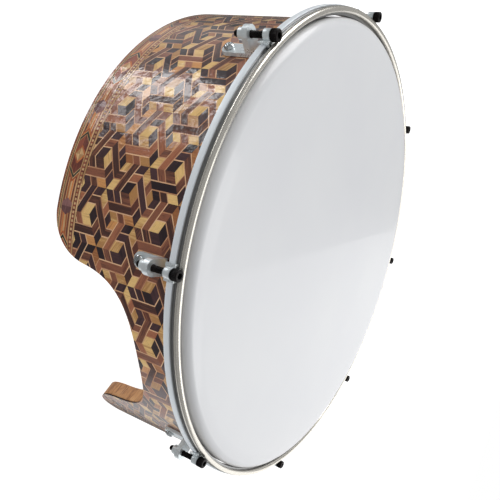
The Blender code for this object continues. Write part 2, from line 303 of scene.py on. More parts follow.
class Shader(Nodes):
    """A Principled material and the nodes that feed it."""

    def __init__(self, name, colour, **values):
        self.material = bpy.data.materials.new(name)
        self.material.use_nodes = True
        super().__init__(self.material.node_tree)
        self.shader = self.tree.nodes["Principled BSDF"]
        self.shader.inputs["Base Color"].default_value = (*colour, 1.0)
        for key, value in values.items():
            self.shader.inputs[key.replace("_", " ")].default_value = value

    def bump(self, height, distance, strength, target="Normal"):
        made = self.node("ShaderNodeBump")
        made.inputs["Distance"].default_value = distance
        made.inputs["Strength"].default_value = strength
        self.link(height, made.inputs["Height"])
        self.link(made.outputs["Normal"], self.shader.inputs[target])

    def set(self, key, value):
        self.put(self.shader.inputs[key], value)


def srgb(red, green, blue):
    """A linear colour from 0-255 display values."""
    def linear(value):
        value /= 255.0
        return value / 12.92 if value <= 0.04045 else ((value + 0.055) / 1.055) ** 2.4
    return linear(red), linear(green), linear(blue)


# ---- materials -------------------------------------------------------------------
def lacquered_wood(name, dark, light, pore=0.35):
    """One species of veneer: grain along U, darker pores, each piece its own tone."""
    wood = Shader(name, light, Roughness=0.42, Coat_Weight=1.0, Coat_Roughness=0.07,
                  Coat_IOR=1.44)
    tone = wood.tone()
    shifted = wood.offset(wood.uv(), wood.math("MULTIPLY", tone, 7.3))
    grain = wood.noise(wood.mapped(shifted, (90.0, 900.0, 1.0)), 1.0, 4.0, 0.6, 0.6)
    figure = wood.noise(wood.mapped(shifted, (22.0, 320.0, 1.0)), 1.0, 2.0, 0.5, 1.2)
    pores = wood.noise(wood.mapped(shifted, (320.0, 3800.0, 1.0)), 1.0, 2.0, 0.7)
    level = wood.math("ADD", wood.weighted((grain, 0.45), (figure, 0.55)),
                      wood.span(tone, 0.0, 1.0, -0.20, 0.19))
    colour = wood.ramp(level, (0.37, dark), (0.62, light))
    flecks = wood.span(pores, 0.36, 0.50, 1.0 - pore, 1.0)
    wood.set("Base Color", wood.darkened(colour, flecks))
    skin = wood.noise(wood.place(), 260.0, 2.0, 0.5)
    ripple = wood.noise(wood.place(), 60.0, 2.0, 0.5)
    fine = wood.noise(wood.place(), 430.0, 2.0, 0.6)
    coat_height = wood.weighted((ripple, 1.0), (skin, 0.24), (fine, 0.08), (grain, 0.04))
    wood.bump(coat_height, 0.0008, 1.0, "Coat Normal")
    wood.bump(grain, 0.00010, 0.35)
    return wood.material


def plain_wood(name, dark, light):
    """Bare or oiled wood with its grain along U."""
    wood = Shader(name, light)
    uv = wood.uv()
    grain = wood.noise(wood.mapped(uv, (9.0, 900.0, 1.0)), 1.0, 4.0, 0.6, 0.4)
    figure = wood.noise(wood.mapped(uv, (3.0, 60.0, 1.0)), 1.0, 3.0, 0.5, 1.5)
    pores = wood.noise(wood.mapped(uv, (160.0, 5200.0, 1.0)), 1.0, 2.0, 0.6)
    level = wood.weighted((grain, 0.5), (figure, 0.5))
    colour = wood.ramp(level, (0.32, dark), (0.68, light))
    flecks = wood.span(pores, 0.34, 0.46, 0.62, 1.0)
    wood.set("Base Color", wood.darkened(colour, flecks))
    wood.set("Roughness", wood.span(grain, 0.3, 0.7, 0.60, 0.45))
    wood.bump(pores, 0.00012, 0.5)
    return wood.material


def cut_edge(name, dark, light):
    """The cutout's cut face: streaks across the wall, sanded and lacquered."""
    wood = Shader(name, light, Roughness=0.38, Coat_Weight=0.5, Coat_Roughness=0.12)
    place = wood.place()
    streaks = wood.noise(wood.mapped(place, (260.0, 50.0, 900.0)), 1.0, 3.0, 0.65, 0.8)
    patches = wood.noise(wood.mapped(place, (70.0, 20.0, 160.0)), 1.0, 2.0, 0.5, 0.5)
    level = wood.weighted((streaks, 0.65), (patches, 0.35))
    wood.set("Base Color", wood.ramp(level, (0.36, dark), (0.52, light),
                                     (0.66, srgb(214, 166, 112))))
    wood.bump(streaks, 0.00015, 0.4)
    return wood.material


def film_material():
    """White coated polyester film: satin under a thin gloss, and faintly mottled."""
    film = Shader("head_film", srgb(232, 233, 236), Roughness=0.34,
                  Coat_Weight=0.32, Coat_Roughness=0.05)
    place = film.place()
    cloud = film.noise(place, 9.0, 3.0, 0.5)
    speck = film.noise(place, 900.0, 2.0, 0.6)
    tint = film.ramp(cloud, (0.35, srgb(239, 240, 243)), (0.65, srgb(242, 243, 245)))
    film.set("Base Color", tint)
    film.set("Roughness", film.span(speck, 0.3, 0.7, 0.28, 0.40))
    film.bump(speck, 0.00003, 0.25)
    return film.material


def metal(name, colour, roughness, brush=None, wear=0.15, grain=0.00002, metallic=1.0):
    """Bright metal; brush stretches the fine scratches along the piece's U."""
    steel = Shader(name, colour, Metallic=metallic, Roughness=roughness)
    if brush:
        lines = steel.noise(steel.mapped(steel.uv(), brush), 1.0, 3.0, 0.6)
    else:
        lines = steel.noise(steel.place(), 900.0, 3.0, 0.6)
    smudge = steel.noise(steel.place(), 34.0, 3.0, 0.55)
    amount = steel.math("ADD", steel.span(lines, 0.3, 0.7, -0.04, 0.05),
                        steel.span(smudge, 0.35, 0.7, roughness, roughness + wear))
    steel.set("Roughness", amount)
    shade = steel.span(smudge, 0.2, 0.8, 0.93, 1.0)
    steel.set("Base Color", steel.darkened(colour, shade))
    steel.bump(lines, grain, 0.3)
    return steel.material


def black_oxide():
    """Blackened steel, dull in some places and slightly polished in others, in a random
    pattern.
    """
    steel = Shader("black_oxide", srgb(22, 21, 22), Metallic=0.7, Roughness=0.42)
    wear = steel.noise(steel.place(), 700.0, 3.0, 0.6)
    blotch = steel.noise(steel.place(), 120.0, 2.0, 0.5)
    steel.set("Base Color", steel.ramp(blotch, (0.35, srgb(12, 11, 13)),
                                       (0.7, srgb(34, 28, 27))))
    steel.set("Roughness", steel.span(wear, 0.3, 0.7, 0.34, 0.52))
    steel.bump(wear, 0.00003, 0.4)
    return steel.material


# ---- the knee cutout and the shell's columns --------------------------------------
def cutout_points():
    """The right half of the cutout's outline, from its crown out to the rim."""
    crown = Vector((0.0, CUTOUT_TOP, 0.0))
    waist = Vector((*CUTOUT_WAIST, 0.0))
    rim = Vector((CUTOUT_RIM_HALF, 0.0, 0.0))
    slope = Vector((-0.12, 1.0, 0.0))
    upper = interpolate_bezier(crown, crown + Vector((CUTOUT_SHOULDER, 0.0, 0.0)),
                               waist + slope * 0.0300, waist, 26)
    lower = interpolate_bezier(waist, waist - slope * 0.0220,
                               rim - Vector((0.0240, 0.0, 0.0)), rim, 22)
    return [(point.x, point.y) for point in upper + lower[1:]]


def shell_columns():
    """(angle, lowest wood height, outline normal) round the shell, denser at the cutout."""
    half = cutout_points()
    outline = [(-x, z) for x, z in reversed(half[1:])] + half
    columns = []
    for index, (x, z) in enumerate(outline):
        before = outline[max(index - 1, 0)]
        after = outline[min(index + 1, len(outline) - 1)]
        along = Vector((after[0] - before[0], after[1] - before[1])).normalized()
        columns.append((CUTOUT_ANGLE + x / SHELL_R, z, (-along.y, along.x)))
    gap = TAU - 2.0 * CUTOUT_RIM_HALF / SHELL_R
    steps = 230
    start = columns[-1][0]
    for step in range(1, steps):
        columns.append((start + gap * step / steps, 0.0, (0.0, 1.0)))
    return columns


COLUMNS = shell_columns()


def wall_rows(profile_at):
    """Loops of points round the shell from a function that gives each column's points."""
    stations = [profile_at(*column) for column in COLUMNS]
    rows = []
    for level in range(len(stations[0])):
        rows.append([(radius * math.cos(angle), radius * math.sin(angle), height)
                     for angle, radius, height in (points[level] for points in stations)])
    return rows


def shell_core(inside, cut):
    """The bent hoop: rounded bearing edge outside, bevel inside, eased cutout edges."""
    ease = 0.0009
    shoulder = CORE_TOP - EDGE_FALL - 0.0001

    def points(angle, low, normal):
        shift, lift = normal[0] * ease / SHELL_R, normal[1] * ease
        return [
            (angle, CORE_R, shoulder - 0.0062),
            (angle, CORE_R, VENEER_TOP - 0.0100),
            (angle + shift, CORE_R, low + lift),
            (angle + shift * 0.3, CORE_R - ease * 0.3, low + lift * 0.3),
            (angle, CORE_R - ease, low),
            (angle, BORE_R + ease, low),
            (angle + shift * 0.3, BORE_R + ease * 0.3, low + lift * 0.3),
            (angle + shift, BORE_R, low + lift),
            (angle, BORE_R, VENEER_TOP - 0.0100),
            (angle, BORE_R, CORE_TOP - 0.0018),
            (angle, BORE_R + 0.0004, CORE_TOP - 0.0006),
            (angle, EDGE_START, CORE_TOP - 0.0001),
            (angle, EDGE_END, shoulder),
            (angle, CORE_R - 0.0024, shoulder - 0.0014),
            (angle, CORE_R - 0.0006, shoulder - 0.0034),
        ]
    slots = [0, 0, 1, 1, 1, 1, 1, 0, 0, 0, 0, 0, 0, 0, 0]
    obj = grid("shell_wood", wall_rows(points), inside, sharp=50.0, slots=slots,
               materials=(inside, cut))
    return finished(obj, "shell", "shell_wood", "shell_core")


def backing(material):
    """The thin dark ground sheet that the marquetry pieces lie on."""
    inner, outer = SHELL_R - VENEER, SHELL_R - 0.00008

    def points(angle, low, _):
        low = max(low, GAP)
        return [(angle, outer, VENEER_TOP), (angle, outer, low),
                (angle, inner, low), (angle, inner, VENEER_TOP)]
    obj = grid("marquetry_ground", wall_rows(points), material, sharp=50.0)
    return finished(obj, "shell", "marquetry")


# ---- flat mosaic pieces wrapped round the shell -----------------------------------
class Mosaic:
    """Collects flat pieces (distance round the shell, height) and wraps them.

    Each piece is cut along the shell's columns, so it follows the curve, and is trimmed
    to the band between two heights and to the cutout.
    """

    def __init__(self, low, high, seed):
        self.low, self.high = low, high
        self.verts, self.faces, self.uvs = [], [], []
        self.slots, self.tones = [], []
        self.random = random.Random(seed)
        start = COLUMNS[0][0]
        self.start = start * SHELL_R
        marks = [(angle * SHELL_R, height) for angle, height, _ in COLUMNS]
        marks.append(((start + TAU) * SHELL_R, COLUMNS[0][1]))
        self.marks = marks
        self.edges = [mark[0] for mark in marks]

    def add(self, points, slot, grain=(1.0, 0.0)):
        """A convex piece; grain is the direction of its fibres."""
        girth = TAU * SHELL_R
        centre = sum(point[0] for point in points) / len(points)
        turns = math.floor((centre - self.start) / girth)
        points = [(x - turns * girth, z) for x, z in points]
        if signed_area(points) < 0.0:
            points.reverse()
        tone = self.random.random()
        grain = Vector(grain).normalized()
        seat = Vector((self.random.random(), self.random.random()))
        low_x, high_x = min(p[0] for p in points), max(p[0] for p in points)
        for shift in (-girth, 0.0, girth):
            if high_x + shift <= self.edges[0] or low_x + shift >= self.edges[-1]:
                continue
            self._wrap([(x + shift, z) for x, z in points], slot, grain, tone, seat, shift)

    def _wrap(self, points, slot, grain, tone, seat, shift):
        low_x, high_x = min(p[0] for p in points), max(p[0] for p in points)
        first = max(int(np.searchsorted(self.edges, low_x, "right")) - 1, 0)
        last = min(int(np.searchsorted(self.edges, high_x, "left")), len(self.edges) - 1)
        for index in range(first, last):
            (left, z_left), (right, z_right) = self.marks[index], self.marks[index + 1]
            slope = (z_right - z_left) / (right - left)
            part = points
            for normal, limit in (((1.0, 0.0), left), ((-1.0, 0.0), -right),
                                  ((0.0, 1.0), self.low), ((0.0, -1.0), -self.high),
                                  ((-slope, 1.0), z_left - slope * left)):
                part = clip(part, normal, limit)
            if len(part) < 3 or signed_area(part) < 2e-9:
                continue
            base = len(self.verts)
            for x, z in part:
                angle = x / SHELL_R
                self.verts.append((SHELL_R * math.cos(angle), SHELL_R * math.sin(angle), z))
                flat = Vector((x - shift, z))
                self.uvs.append((flat.dot(grain) + seat.x,
                                 flat.x * -grain.y + flat.y * grain.x + seat.y))
            self.faces.append(tuple(range(base, base + len(part))))
            self.slots.append(slot)
            self.tones.append(tone)

    def build(self, name, materials, slot_name, *nodes):
        obj = to_object(name, self.verts, self.faces, materials, self.uvs, self.slots)
        set_tone(obj.data, self.tones)
        bm = bmesh.new()
        bm.from_mesh(obj.data)
        bmesh.ops.remove_doubles(bm, verts=bm.verts, dist=0.00002)
        bm.to_mesh(obj.data)
        bm.free()
        lean_pieces(obj.data)
        return finished(obj, "shell", slot_name, *nodes)


def lean_pieces(mesh):
    """Tilts each piece's shading a little, as hand-laid veneer never lies quite flush."""
    tones = np.zeros(len(mesh.polygons), dtype=np.float32)
    mesh.attributes["tone"].data.foreach_get("value", tones)
    normals = []
    for face, tone in zip(mesh.polygons, tones):
        way = float(tone) * 7.0 * TAU
        for index in face.vertices:
            x, y, _ = mesh.vertices[index].co
            out = Vector((x, y, 0.0)).normalized()
            lean = Vector((-out.y * math.cos(way), out.x * math.cos(way), math.sin(way)))
            normals.append((out + PIECE_LEAN * lean).normalized())
    mesh.normals_split_custom_set(normals)


def clip(points, normal, limit):
    """The part of a convex polygon where normal . point is at least limit."""
    kept = []
    for here, after in zip(points, points[1:] + points[:1]):
        side = normal[0] * here[0] + normal[1] * here[1] - limit
        side_after = normal[0] * after[0] + normal[1] * after[1] - limit
        if side >= 0.0:
            kept.append(here)
        if (side > 0.0 > side_after) or (side < 0.0 < side_after):
            share = side / (side - side_after)
            kept.append((here[0] + (after[0] - here[0]) * share,
                         here[1] + (after[1] - here[1]) * share))
    return kept


def signed_area(points):
    """Positive where the points run anticlockwise."""
    return sum(here[0] * after[1] - after[0] * here[1]
               for here, after in zip(points, points[1:] + points[:1])) / 2.0


# ---- the marquetry's interlaced bars ----------------------------------------------
CELLS_ROUND = 32
CELL = TAU * SHELL_R / CELLS_ROUND
ROW = 0.0348                     # height from one row of cells to the next
SQUASH = ROW / (CELL * SQRT3 / 2.0)
PHASE = math.radians(236.4)      # angle of one cell of the row at PHASE_Z
PHASE_Z = 0.0712
BAR_NEAR = 0.0082                # from a cell's centre to the near side of its bars
BAR_FAR = 0.0156
LINE = 0.0009                    # width of the light stringing along the bars
PIECE_LEAN = 0.026               # tilt of a piece's shading, as a slope
BROWN, PURPLE, STRAW, HONEY, STRING, RED_BROWN = range(6)
ROWS_UP = range(-3, 4)           # rows of cells below and above the one at PHASE_Z
CUBES_IN_CELLS = ((PURPLE, STRAW, STRAW), (STRAW, PURPLE, BROWN), (PURPLE, STRAW, PURPLE))
CUBES_BETWEEN = ((STRAW, PURPLE, HONEY), (PURPLE, STRAW, PURPLE), (HONEY, PURPLE, STRAW))


def plus(point, other):
    return (point[0] + other[0], point[1] + other[1])


def minus(point, other):
    return (point[0] - other[0], point[1] - other[1])


def turn(point, degrees):
    angle = math.radians(degrees)
    return (point[0] * math.cos(angle) - point[1] * math.sin(angle),
            point[0] * math.sin(angle) + point[1] * math.cos(angle))


def between(start, end, share):
    return (start[0] + (end[0] - start[0]) * share, start[1] + (end[1] - start[1]) * share)


def bar_outlines():
    """The three legs of one bent bar, each as (near start, far start, far end, near end)."""
    near, far, half = BAR_NEAR, BAR_FAR, CELL / 2.0
    wide = far - near
    side = half - far            # apothem of the small hexagon between the cells
    hub = (half, -half / SQRT3)
    start_near, start_far = (0.0, near * 2.0 / SQRT3), (wide, (far + near) / SQRT3)
    knee_near, knee_far = (near, near / SQRT3), (far, far / SQRT3)
    heel_near = (near, hub[1] - (side + wide) / SQRT3)
    heel_far = (far, hub[1] - side / SQRT3)
    end_near = (hub[0] - wide, hub[1] - (2.0 * side + wide) / SQRT3)
    end_far = (hub[0], hub[1] - 2.0 * side / SQRT3)
    return [(start_near, start_far, knee_far, knee_near),
            (knee_near, knee_far, heel_far, heel_near),
            (heel_near, heel_far, end_far, end_near)]


def hexagon(apothem, centre=(0.0, 0.0)):
    return [polar(centre, apothem * 2.0 / SQRT3, angle) for angle in range(30, 390, 60)]


def marquetry(materials):
    """Rows of cells, each with three bent bars round a cube, a small cube and a star."""
    mosaic = Mosaic(BORDER_TOP + GAP, VENEER_TOP, seed=11)
    chance = random.Random(5)
    half = CELL / 2.0
    hub = (half, -half / SQRT3)
    share = LINE / (BAR_FAR - BAR_NEAR)

    def place(centre, points):
        return [(centre[0] + x, centre[1] + z * SQUASH) for x, z in points]

    def grain_of(start, end):
        return (end[0] - start[0], (end[1] - start[1]) * SQUASH)

    for row in ROWS_UP:
        for column in range(CELLS_ROUND):
            x = PHASE * SHELL_R + (column + (row % 2) / 2.0) * CELL
            centre = (x, PHASE_Z + row * ROW)
            for side in range(3):
                for outline in bar_outlines():
                    near_a, far_a, far_b, near_b = [turn(p, 120.0 * side) for p in outline]
                    rails = [between(near_a, far_a, share), between(near_a, far_a, 1.0 - share)]
                    ends = [between(near_b, far_b, share), between(near_b, far_b, 1.0 - share)]
                    grain = grain_of(near_a, near_b)
                    draw = chance.random()
                    wood = PURPLE if draw < 0.22 else BROWN if draw < 0.72 else RED_BROWN
                    for piece, slot in (((rails[0], rails[1], ends[1], ends[0]), wood),
                                        ((near_a, rails[0], ends[0], near_b), STRING),
                                        ((rails[1], far_a, far_b, ends[1]), STRING)):
                        mosaic.add(place(centre, piece), slot, grain)
            add_cube(mosaic, place, centre, hexagon(BAR_NEAR), 0, chance, CUBES_IN_CELLS)
            add_cube(mosaic, place, centre, hexagon(half - BAR_FAR, hub), 1, chance,
                     CUBES_BETWEEN)
            add_star(mosaic, place, centre, chance)
    return mosaic.build("marquetry", materials, "marquetry", "marquetry_veneer")


def add_cube(mosaic, place, centre, corners, phase, chance, schemes):
    """A hexagon made of three rhombi that read as a cube."""
    middle = (sum(p[0] for p in corners) / 6.0, sum(p[1] for p in corners) / 6.0)
    woods = chance.choice(schemes)
    for index in range(3):
        first = (2 * index + phase) % 6
        rhomb = [middle, corners[first], corners[(first + 1) % 6], corners[(first + 2) % 6]]
        mosaic.add(place(centre, rhomb), woods[index], minus(corners[first], middle))


def add_star(mosaic, place, centre, chance):
    """Six rhomboids, light and dark in turn, round the point between three cells."""
    near, far, half = BAR_NEAR, BAR_FAR, CELL / 2.0
    hub = (half, half / SQRT3)
    corner = (far, far / SQRT3)
    pocket = (far - near, (far + near) / SQRT3)
    elbow = star_elbow()
    crown = plus(hub, turn(minus(corner, hub), -120.0))
    outer = plus(elbow, minus(crown, hub))
    for side in range(3):
        light = HONEY if chance.random() < 0.35 else STRAW
        dark = PURPLE if chance.random() < 0.7 else BROWN
        for outline, slot, grain in (((corner, pocket, elbow), dark, minus(pocket, corner)),
                                     ((elbow, outer, crown), light, minus(crown, hub))):
            around = [plus(hub, turn(minus(p, hub), 120.0 * side)) for p in outline]
            mosaic.add(place(centre, [hub, *around]), slot, grain)


def star_elbow():
    """The outer bend of the neighbouring bar, seen from the star at the cell's corner."""
    half = CELL / 2.0
    side = half - BAR_FAR
    wide = BAR_FAR - BAR_NEAR
    reach = (side + wide) * 2.0 / SQRT3
    return polar((0.0, 2.0 * half / SQRT3), reach, -30.0)


# ---- the inlaid border --------------------------------------------------------------
MOTIFS = 17
MOTIF = TAU * SHELL_R / MOTIFS
MOTIF_PHASE = math.radians(231.0)
ROW_LOW, ROW_HIGH = 0.0050, 0.0160
BEADS = 420                      # small light squares in the line above the motifs
BEAD_LOW, BEAD_HIGH = 0.0180, 0.0200
BEAD_SHARE = 0.56                # of the pitch; the rest is a dark gap
ROPE_STRANDS = 840               # leaning strands in the line below the motifs
ROPE_LOW, ROPE_HIGH = 0.0011, 0.0026
CREAM, EBONY, ORANGE, RUST, MAUVE, TAN = range(6)
STRIPS = ((0.0, ROPE_LOW, RUST), (ROPE_HIGH, 0.0034, CREAM), (0.0034, 0.0042, EBONY),
          (0.0042, ROW_LOW, CREAM), (ROW_HIGH, 0.0171, CREAM), (0.0171, BEAD_LOW, RUST),
          (BEAD_HIGH, 0.0209, RUST), (0.0209, BORDER_TOP, CREAM))
STRIP_PIECES = 64


def border(materials):
    """Long strips, a line of leaning strands, a line of beads, and the motifs' row."""
    mosaic = Mosaic(GAP, BORDER_TOP, seed=23)
    girth = TAU * SHELL_R
    start = MOTIF_PHASE * SHELL_R

    def add_block(left, right, low, high, slot, grain=(1.0, 0.0)):
        mosaic.add([(left, low), (right, low), (right, high), (left, high)], slot, grain)

    for low, high, slot in STRIPS:
        step = girth / STRIP_PIECES
        for index in range(STRIP_PIECES):
            left = start + index * step
            add_block(left, left + step, low, high, slot)
    pitch = girth / BEADS
    for index in range(BEADS):
        left = start + index * pitch
        split = left + pitch * BEAD_SHARE
        add_block(left, split, BEAD_LOW, BEAD_HIGH, CREAM, (0.0, 1.0))
        add_block(split, left + pitch, BEAD_LOW, BEAD_HIGH, RUST, (0.0, 1.0))
    pitch = girth / ROPE_STRANDS
    lean = pitch / 2.0
    for index in range(ROPE_STRANDS):
        for shift, slot in ((0.0, TAN), (lean, RUST)):
            left = start + index * pitch + shift
            mosaic.add([(left, ROPE_LOW), (left + lean, ROPE_LOW), (left + pitch, ROPE_HIGH),
                        (left + lean, ROPE_HIGH)], slot, (1.0, 1.0))
    for index in range(MOTIFS):
        add_motif(mosaic, start + index * MOTIF)
    return mosaic.build("border_mosaic", materials, "border_inlay", "border_inlay")


def add_motif(mosaic, centre):
    """A long hexagon with a light lozenge, chevrons at its ends, and stripes between
    them and the mauve hexagon halfway to the next motif. Quadrants mirror each other."""
    middle = (ROW_LOW + ROW_HIGH) / 2.0
    tall = (ROW_HIGH - ROW_LOW) / 2.0
    rake = 0.0062                # how far a band's point is ahead of its ends
    half = MOTIF / 2.0
    light_tip, light_top = 0.0056, tall * 0.86
    orange_tip, orange_flat = 0.0078, 0.0014
    bands = ((0.0098, 0.0106, CREAM), (0.0106, 0.0130, EBONY), (0.0130, 0.0138, CREAM),
             (0.0138, 0.0160, ORANGE))
    mauve_tip, mauve_flat = 0.0068, 0.0030
    first, last = bands[-1][1], half - mauve_tip
    slant = mauve_tip - mauve_flat
    stripes = ((0.0, 0.18, CREAM), (0.18, 0.46, ORANGE), (0.46, 0.58, CREAM),
               (0.58, 0.86, RUST), (0.86, 1.0, TAN))

    def quarter(points, slot, along, up):
        mosaic.add([(centre + x * along, middle + z * up) for x, z in points], slot)

    for along in (1.0, -1.0):
        for up in (1.0, -1.0):
            quarter([(0.0, 0.0), (light_tip, 0.0), (0.0, light_top)], CREAM, along, up)
            quarter([(light_tip, 0.0), (orange_tip, 0.0), (orange_flat, tall), (0.0, tall),
                     (0.0, light_top)], ORANGE, along, up)
            quarter([(orange_tip, 0.0), (bands[0][0] + rake, 0.0), (bands[0][0], tall),
                     (orange_flat, tall)], RUST, along, up)
            for low, high, slot in bands:
                quarter([(low, tall), (high, tall), (high + rake, 0.0), (low + rake, 0.0)],
                        slot, along, up)
            for low, high, slot in stripes:
                quarter([(first + rake * (1.0 - low), tall * low),
                         (last + slant * low, tall * low),
                         (last + slant * high, tall * high),
                         (first + rake * (1.0 - high), tall * high)], slot, along, up)
            quarter([(last, 0.0), (half, 0.0), (half, tall), (last + slant, tall)], MAUVE,
                    along, up)


# ---- head --------------------------------------------------------------------------
def drumhead(material):
    """The film: flat inside, easing down over the shell's edge, then a steep collar."""
    shoulder = HEAD_TOP - EDGE_FALL
    reach, drop = SKIRT_R - EDGE_END, 0.0074
    outer = [(radius, HEAD_TOP) for radius in (0.02, 0.06, 0.12, 0.17, 0.195, 0.204)]
    fall_start = EDGE_START - 0.0020
    for step in range(11):
        share = step / 10.0
        outer.append((fall_start + (EDGE_END - fall_start) * share,
                      HEAD_TOP - EDGE_FALL * share ** 1.6))
    for step in range(1, 15):
        angle = PI / 2.0 * step / 14
        outer.append((EDGE_END + reach * math.sin(angle) ** 1.15,
                      shoulder - drop * (1.0 - math.cos(angle)) ** 0.95))
    outer.append((SKIRT_R, SKIRT_LOW))
    inner = [(SKIRT_R - FILM, SKIRT_LOW), (SKIRT_R - FILM, shoulder - drop)]
    for radius, height in reversed(outer[:-2]):
        sink = FILM * min(1.0, max(0.0, (radius - EDGE_END) / reach))
        inner.append((radius - sink, height - FILM + 0.3 * sink))
    obj = turned("head", outer + inner, material, closed=False, sharp=60.0)
    return finished(obj, "shell", "head_film", "drumhead")


# ---- tension hoop --------------------------------------------------------------------
def flesh_hoop(material, groove_shade):
    """The channel ring: a satin outer wall with a rolled lip, and a step above it; the step and
    the inner wall are painted darker as shade.
    """
    round_off = 0.0007
    top_r = FLESH_R - FLESH_STEP
    profile = [(top_r - 0.0002, FLESH_TOP), (top_r, FLESH_TOP - 0.0002),
               (top_r, FLESH_LIP - 0.0003), (top_r + 0.0003, FLESH_LIP - 0.0006),
               (FLESH_R - 2.0 * round_off, FLESH_LIP - 0.0004)]
    profile += arc((FLESH_R - round_off, FLESH_LIP - round_off), round_off, 100.0, 0.0, 6)
    profile += arc((FLESH_R - round_off, FLESH_BOTTOM + round_off), round_off, 0.0, -90.0, 5)
    profile += [(SKIRT_R + 0.0012, FLESH_BOTTOM), (SKIRT_R + 0.0009, FLESH_BOTTOM + 0.0003),
                (SKIRT_R + 0.0009, FLESH_TOP - 0.0003), (SKIRT_R + 0.0012, FLESH_TOP)]
    # the step above the lip and the inner wall take the darker grey metal: painted shade for
    # the shadowed gap under the rod
    slots = [1, 1, 1, 1] + [0] * (len(profile) - 7) + [1, 1, 1]
    obj = turned("flesh_ring", profile, material, sharp=35.0, slots=slots,
                 materials=(material, groove_shade))
    return finished(obj, "tension_hoop", "satin_aluminium", "flesh_hoop")


def counter_hoop(material):
    """The round steel rod, bent to a ring."""
    profile = arc((HOOP_R, HOOP_Z), ROD_R, 90.0, -250.0, 34)
    obj = turned("rod_ring", profile, material, steps=360, sharp=60.0)
    return finished(obj, "tension_hoop", "polished_steel", "counter_hoop")


# ---- lugs ----------------------------------------------------------------------------
def lug_copies(source, name, body, slot, node):
    """Eight copies of a piece modelled at +X, each in place of its CAD node."""
    mesh = source.data
    bpy.data.objects.remove(source, do_unlink=True)
    for number in range(1, LUG_COUNT + 1):
        angle = LUG_FIRST + TAU * (number - 1) / LUG_COUNT
        obj = linked(f"{name}_{number}", mesh)
        obj.matrix_world = Matrix.Rotation(angle, 4, "Z")
        finished(obj, body.format(number), slot, f"{node}_{number}")


def solid_box(low, high):
    low, high = Vector(low), Vector(high)
    bm = bmesh.new()
    bmesh.ops.create_cube(bm, size=1.0)
    bmesh.ops.scale(bm, vec=high - low, verts=bm.verts)
    bmesh.ops.translate(bm, vec=(high + low) / 2.0, verts=bm.verts)
    return from_bmesh(bm)


def solid_round(radius, low, high, sides, centre=(0.0, 0.0), axis="Z", top_radius=None):
    """A cylinder or cone between two heights, or between two places along X."""
    bm = bmesh.new()
    bmesh.ops.create_cone(bm, cap_ends=True, segments=sides, radius1=radius,
                          radius2=top_radius or radius, depth=high - low)
    middle = (low + high) / 2.0
    for vert in bm.verts:
        x, y, z = vert.co
        if axis == "X":
            vert.co = (z + middle, y + centre[0], -x + centre[1])
        else:
            vert.co = (x + centre[0], y + centre[1], z + middle)
    return from_bmesh(bm)


def from_bmesh(bm):
    mesh = bpy.data.meshes.new("solid")
    bm.to_mesh(mesh)
    bm.free()
    return linked("solid", mesh)


def sculpted(name, solids, cuts, material, bevel):
    """Joins solids, subtracts cuts, then rounds the edges that remain."""
    base = solids[0]
    steps = [(solid, "UNION") for solid in solids[1:]] + [(cut, "DIFFERENCE") for cut in cuts]
    for other, operation in steps:
        modifier = base.modifiers.new(operation, "BOOLEAN")
        modifier.operation = operation
        modifier.object = other
        modifier.solver = "EXACT"
    round_off = base.modifiers.new("round", "BEVEL")
    round_off.width = bevel
    round_off.segments = 2
    round_off.limit_method = "ANGLE"
    round_off.angle_limit = math.radians(40.0)
    round_off.use_clamp_overlap = True
    graph = bpy.context.evaluated_depsgraph_get()
    mesh = bpy.data.meshes.new_from_object(base.evaluated_get(graph))
    mesh.name = name
    for used in [*solids, *cuts]:
        bpy.data.objects.remove(used, do_unlink=True)
    mesh.materials.clear()
    mesh.materials.append(material)
    mesh.shade_smooth()
    mesh.set_sharp_from_angle(angle=math.radians(32.0))
    return linked(name, mesh)


def hoop_ears(material):
    """Sleeve, foot on the flesh hoop's wall, and two arms that reach over the rod."""
    low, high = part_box("hoop_ear_1")
    top, bottom, half = high.z, low.z, 0.0065
    foot = FLESH_R + GAP
    thick, window_at, window = 0.0016, 0.0036, 0.0013
    sleeve_low, arm_low = HOOP_Z - 0.0075, FLESH_LIP + GAP
    sleeve = solid_round(0.0042, sleeve_low, top, 48, (BOLT_AXIS, 0.0))
    plate = solid_box((foot, -half, bottom), (foot + thick, half, arm_low + 0.0012))
    saddle = solid_box((FLESH_R - FLESH_STEP + 2.0 * GAP, -half, arm_low),
                       (foot + thick, half, top - 0.0002))
    bore = solid_round(BOLT_BORE, sleeve_low - 0.01, top + 0.01, 32, (BOLT_AXIS, 0.0))
    wall = solid_box((foot - 0.01, -2.0 * half, bottom - 0.001), (foot, 2.0 * half, arm_low))
    windows = [solid_box((HOOP_R, side * window_at - window, arm_low - 0.001),
                         (foot + 0.0006, side * window_at + window, top + 0.001))
               for side in (-1.0, 1.0)]
    bpy.ops.mesh.primitive_torus_add(
        major_radius=HOOP_R, minor_radius=ROD_R + GAP, major_segments=720,
        minor_segments=24, location=(0.0, 0.0, HOOP_Z))
    rod = bpy.context.object
    obj = sculpted("ear", [sleeve, plate, saddle], [bore, wall, rod, *windows], material,
                   0.0003)
    lug_copies(obj, "ear", "tension_hoop", "zinc_casting", "hoop_ear")


